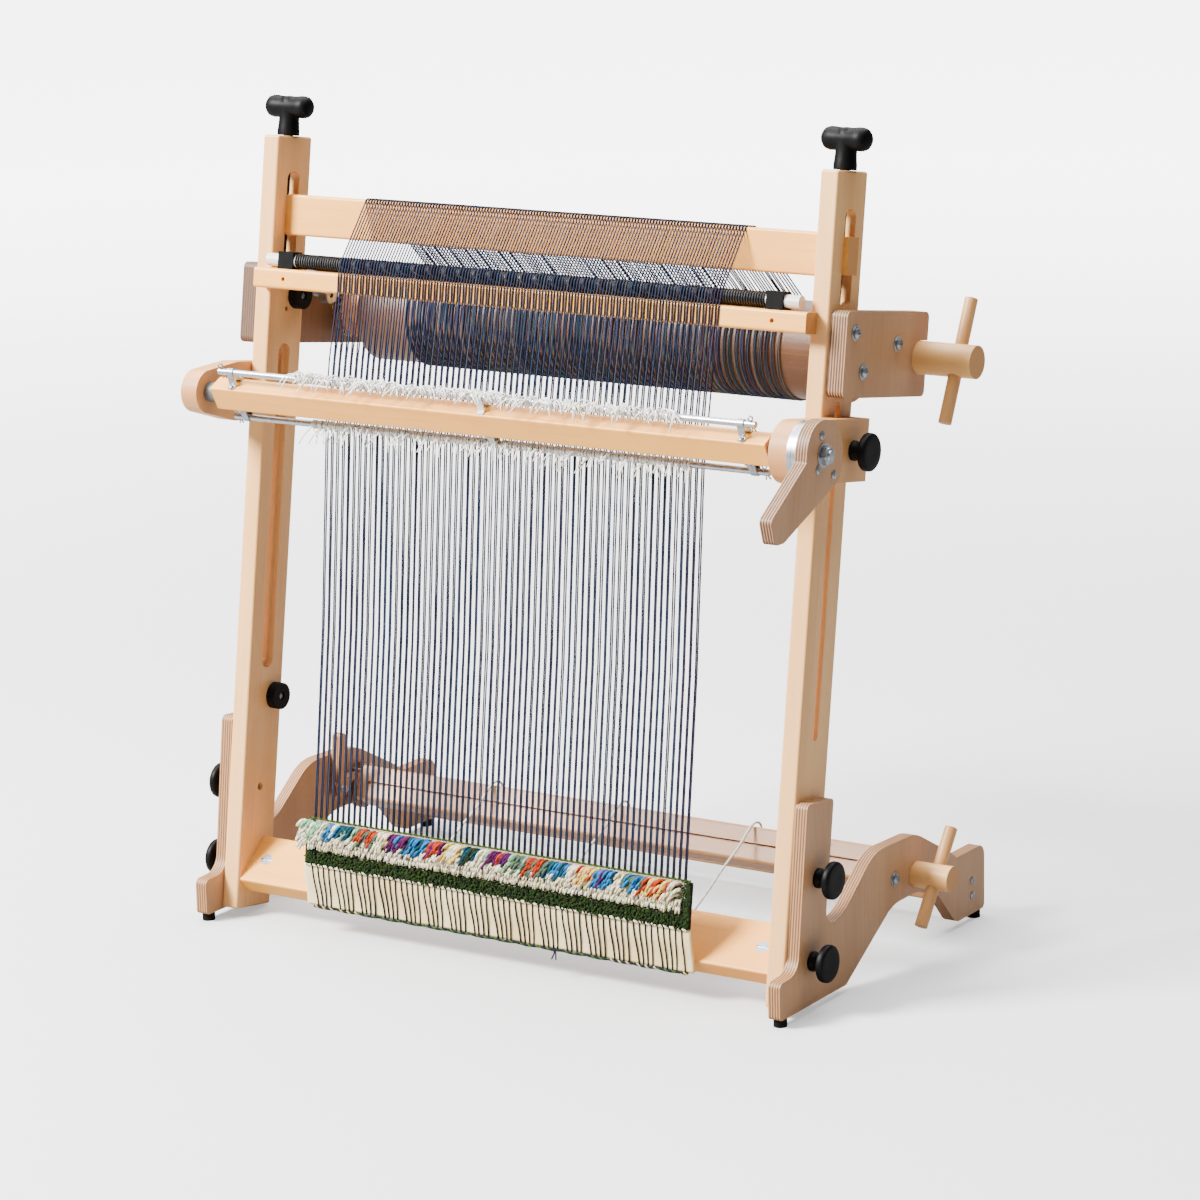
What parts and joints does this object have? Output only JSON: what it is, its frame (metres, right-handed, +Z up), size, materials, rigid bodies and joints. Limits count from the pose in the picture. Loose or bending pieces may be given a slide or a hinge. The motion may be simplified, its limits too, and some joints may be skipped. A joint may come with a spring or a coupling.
{
  "type": "tapestry loom",
  "caption": "Free-standing table tapestry loom: leaning frame on plywood feet, screw-raised tension beam, warp and cloth beams with ratchets, and a lever-turned shedding bar.",
  "frame": {"origin": "centre of the bounding box's footprint, on the surface under the rubber feet", "axes": "+X to the loom's right hand side seen from the weaver, +Y to its back, +Z up; the uprights lean back by 8.8 degrees"},
  "size_m": [0.7734, 0.4558, 0.8143],
  "materials": {
    "maple": "pale maple, satin lacquer",
    "birch_dowel": "turned dowel, satin",
    "plywood": "birch plywood, satin, darker edge layers",
    "black_plastic": "moulded, satin",
    "rubber": "matte black",
    "white_plastic": "moulded white",
    "zinc_steel": "zinc plated",
    "satin_steel": "satin steel",
    "white_tube": "satin tube",
    "black_spring": "black spring wire",
    "warp_yarn": "twisted blue-grey warp yarn",
    "white_cord": "white braided cord",
    "cream_card": "cream cloth-covered strip",
    "woven_wool": "knotted wool pile"
  },
  "bodies": {
    "frame": {"left_upright": "maple", "right_upright": "maple", "front_beam": "maple", "spring_bar": "maple", "rear_crossbar": "maple", "end_stick": "birch_dowel", "left_foot": "plywood", "right_foot": "plywood", "left_beam_plate": "plywood", "right_beam_plate": "plywood", "spring_clips": "black_plastic", "bumpers": "black_plastic", "rubber_feet": "rubber", "barrel_nuts": "zinc_steel", "wood_screws": "zinc_steel", "frame_bolts": "zinc_steel", "spring_rod": "white_tube", "warp_spring": "black_spring", "front_warp": "warp_yarn", "back_warp": "warp_yarn", "lower_warp": "warp_yarn", "apron_cords": "white_cord", "cream_strip": "cream_card", "woven_sample": "woven_wool"},
    "top_beam": {"top_beam": "maple", "tension_nuts": "zinc_steel", "beam_warp": "warp_yarn"},
    "left_t_handle": {"left_t_handle": "black_plastic"},
    "right_t_handle": {"right_t_handle": "black_plastic"},
    "shed_carriage": {"left_shed_bracket": "maple", "right_shed_bracket": "maple", "bracket_nuts": "zinc_steel", "detent_plate": "satin_steel"},
    "shed_bar": {"shed_bar": "maple", "shed_collars": "white_plastic", "shed_pivots": "zinc_steel", "detent_ring": "satin_steel", "shed_lever": "plywood", "lever_screws": "zinc_steel", "heddle_rods": "satin_steel", "rod_clips": "white_plastic", "rod_cotters": "satin_steel", "heddles": "white_cord"},
    "left_bracket_knob": {"left_bracket_knob": "black_plastic"},
    "right_bracket_knob": {"right_bracket_knob": "black_plastic"},
    "left_lower_foot_knob": {"left_lower_foot_knob": "black_plastic"},
    "left_upper_foot_knob": {"left_upper_foot_knob": "black_plastic"},
    "right_lower_foot_knob": {"right_lower_foot_knob": "black_plastic"},
    "right_upper_foot_knob": {"right_upper_foot_knob": "black_plastic"},
    "warp_beam": {"warp_beam": "maple", "warp_beam_axles": "birch_dowel", "warp_beam_peg": "birch_dowel", "warp_ratchet": "plywood", "wound_warp": "warp_yarn"},
    "warp_pawl": {"warp_pawl": "zinc_steel"},
    "cloth_beam": {"cloth_beam": "maple", "cloth_beam_axles": "birch_dowel", "cloth_beam_peg": "birch_dowel", "cloth_ratchet": "plywood"},
    "cloth_pawl": {"cloth_pawl": "plywood"}
  },
  "joints": [
    {"name": "left_t_handle_turn", "type": "hinge", "parent": "frame", "child": "left_t_handle", "pos_m": [-0.3372, -0.00372, 0.77397], "axis": [0, -0.1534, -0.9882], "range_deg": [-5335, 4315]},
    {"name": "right_t_handle_turn", "type": "hinge", "parent": "frame", "child": "right_t_handle", "pos_m": [0.29856, -0.00372, 0.77397], "axis": [0, -0.1534, -0.9882], "range_deg": [-5335, 4315]},
    {"name": "top_beam_slide", "type": "slide", "parent": "frame", "child": "top_beam", "axis": [0, 0.1534, 0.9882], "range_m": [-0.0235, 0.019], "deforming": ["front_warp", "back_warp"]},
    {"name": "shed_height", "type": "slide", "parent": "frame", "child": "shed_carriage", "axis": [0, 0.1534, 0.9882], "range_m": [-0.255, 0.017]},
    {"name": "shed_turn", "type": "hinge", "parent": "shed_carriage", "child": "shed_bar", "pos_m": [-0.01932, -0.13474, 0.53625], "axis": [-1, 0, 0], "range_deg": [0, 70], "deforming": ["heddles"]},
    {"name": "left_bracket_knob_turn", "type": "hinge", "parent": "shed_carriage", "child": "left_bracket_knob", "pos_m": [-0.36577, -0.04284, 0.52199], "axis": [-1, 0, 0], "range_deg": [0, 1080]},
    {"name": "right_bracket_knob_turn", "type": "hinge", "parent": "shed_carriage", "child": "right_bracket_knob", "pos_m": [0.32713, -0.04284, 0.52199], "axis": [1, 0, 0], "range_deg": [0, 1080]},
    {"name": "warp_beam_turn", "type": "hinge", "parent": "frame", "child": "warp_beam", "pos_m": [-0.01932, 0.08779, 0.58772], "axis": [1, 0, 0], "continuous": true},
    {"name": "warp_pawl_lift", "type": "hinge", "parent": "frame", "child": "warp_pawl", "pos_m": [-0.33732, 0.04433, 0.60762], "axis": [1, 0, 0], "range_deg": [0, 30]},
    {"name": "cloth_beam_turn", "type": "hinge", "parent": "frame", "child": "cloth_beam", "pos_m": [-0.01932, 0.08641, 0.0805], "axis": [1, 0, 0], "continuous": true, "deforming": ["apron_cords"]},
    {"name": "cloth_pawl_lift", "type": "hinge", "parent": "frame", "child": "cloth_pawl", "pos_m": [-0.33932, 0.04341, 0.087], "axis": [1, 0, 0], "range_deg": [0, 30]},
    {"name": "left_lower_foot_knob_turn", "type": "hinge", "parent": "frame", "child": "left_lower_foot_knob", "pos_m": [-0.35942, -0.11609, 0.05014], "axis": [-1, 0, 0], "range_deg": [0, 1080]},
    {"name": "left_upper_foot_knob_turn", "type": "hinge", "parent": "frame", "child": "left_upper_foot_knob", "pos_m": [-0.35942, -0.10405, 0.12771], "axis": [-1, 0, 0], "range_deg": [0, 1080]},
    {"name": "right_lower_foot_knob_turn", "type": "hinge", "parent": "frame", "child": "right_lower_foot_knob", "pos_m": [0.32078, -0.11609, 0.05014], "axis": [1, 0, 0], "range_deg": [0, 1080]},
    {"name": "right_upper_foot_knob_turn", "type": "hinge", "parent": "frame", "child": "right_upper_foot_knob", "pos_m": [0.32078, -0.10405, 0.12771], "axis": [1, 0, 0], "range_deg": [0, 1080]}
  ],
  "couplings": [
    {"joint": "left_t_handle_turn", "follows": "top_beam_slide", "rad_per_m": 3957.9},
    {"joint": "right_t_handle_turn", "follows": "top_beam_slide", "rad_per_m": 3957.9}
  ]
}
